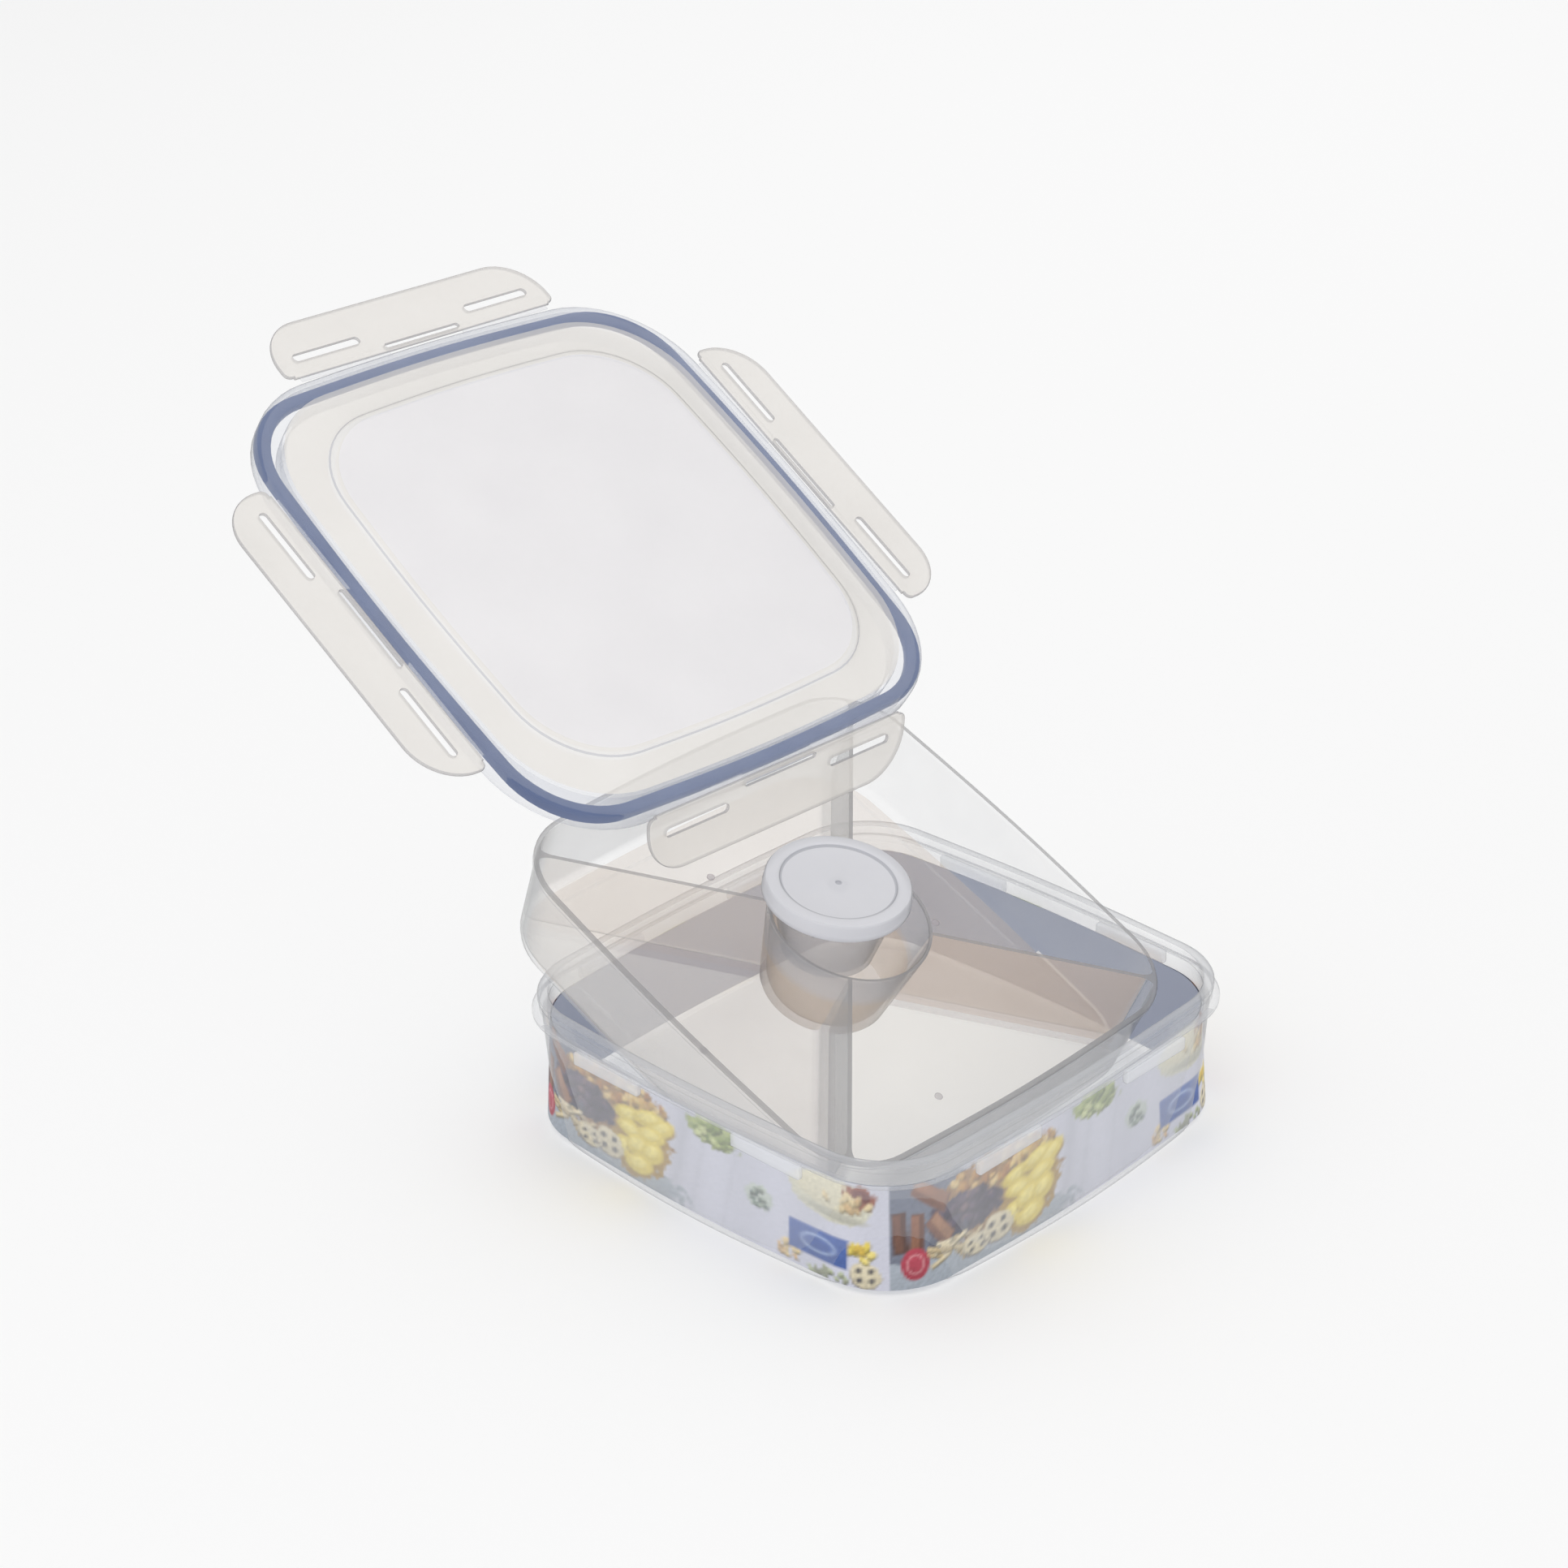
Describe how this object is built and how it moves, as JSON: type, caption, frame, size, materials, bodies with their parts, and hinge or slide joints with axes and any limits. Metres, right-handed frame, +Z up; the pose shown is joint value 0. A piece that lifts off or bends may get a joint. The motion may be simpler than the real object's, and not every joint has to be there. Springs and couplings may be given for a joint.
{
  "type": "chip and dip server",
  "caption": "Square lidded snack box with a lift-out four-pocket chip tray, a lidded dip cup and four locking wings.",
  "frame": {"origin": "centre of the underside of the box", "axes": "+Z up, +X and +Y square to the box's sides; the lifted lid leans away towards -X and +Y"},
  "size_m": [0.3596, 0.3285, 0.3645],
  "materials": {
    "clear_plastic": "clear, glossy polypropylene",
    "printed_card": "printed card, satin",
    "tray_plastic": "clear, faintly tinted polypropylene",
    "cup_plastic": "smoky clear plastic",
    "cup_lid_plastic": "frosted soft plastic",
    "lid_plastic": "frosted clear polypropylene",
    "blue_silicone": "satin silicone"
  },
  "bodies": {
    "container": {"container_body": "clear_plastic", "card_sleeve": "printed_card"},
    "tray": {"divider_tray": "tray_plastic"},
    "cup": {"dip_cup": "cup_plastic"},
    "cup_lid": {"dip_cup_lid": "cup_lid_plastic"},
    "lid": {"lid_panel": "lid_plastic", "lid_gasket": "blue_silicone"},
    "wing_front": {"wing_front": "lid_plastic"},
    "wing_right": {"wing_right": "lid_plastic"},
    "wing_back": {"wing_back": "lid_plastic"},
    "wing_left": {"wing_left": "lid_plastic"}
  },
  "joints": [
    {"name": "tray_lift", "type": "slide", "parent": "container", "child": "tray", "axis": [0, 0, 1], "range_m": [0, 0.07]},
    {"name": "cup_lift", "type": "slide", "parent": "tray", "child": "cup", "axis": [0, -0.2079, 0.9781], "range_m": [-0.004, 0.045]},
    {"name": "cup_lid_lift", "type": "slide", "parent": "cup", "child": "cup_lid", "axis": [0, -0.2079, 0.9781], "range_m": [0, 0.015]},
    {"name": "lid_lift", "type": "slide", "parent": "container", "child": "lid", "axis": [0, 0, 1], "range_m": [0, 0.1]},
    {"name": "front_wing_hinge", "type": "hinge", "parent": "lid", "child": "wing_front", "pos_m": [-0.08829, -0.03002, 0.21786], "axis": [0.9982, 0.0139, -0.0576], "range_deg": [-95, 30]},
    {"name": "right_wing_hinge", "type": "hinge", "parent": "lid", "child": "wing_right", "pos_m": [0.03733, 0.07724, 0.27503], "axis": [0.0181, 0.8539, 0.5201], "range_deg": [-35, 90]},
    {"name": "back_wing_hinge", "type": "hinge", "parent": "lid", "child": "wing_back", "pos_m": [-0.08382, 0.18106, 0.34644], "axis": [-0.9982, -0.0139, 0.0576], "range_deg": [-35, 90]},
    {"name": "left_wing_hinge", "type": "hinge", "parent": "lid", "child": "wing_left", "pos_m": [-0.20944, 0.0738, 0.28926], "axis": [-0.0181, -0.8539, -0.5201], "range_deg": [-35, 90]}
  ]
}
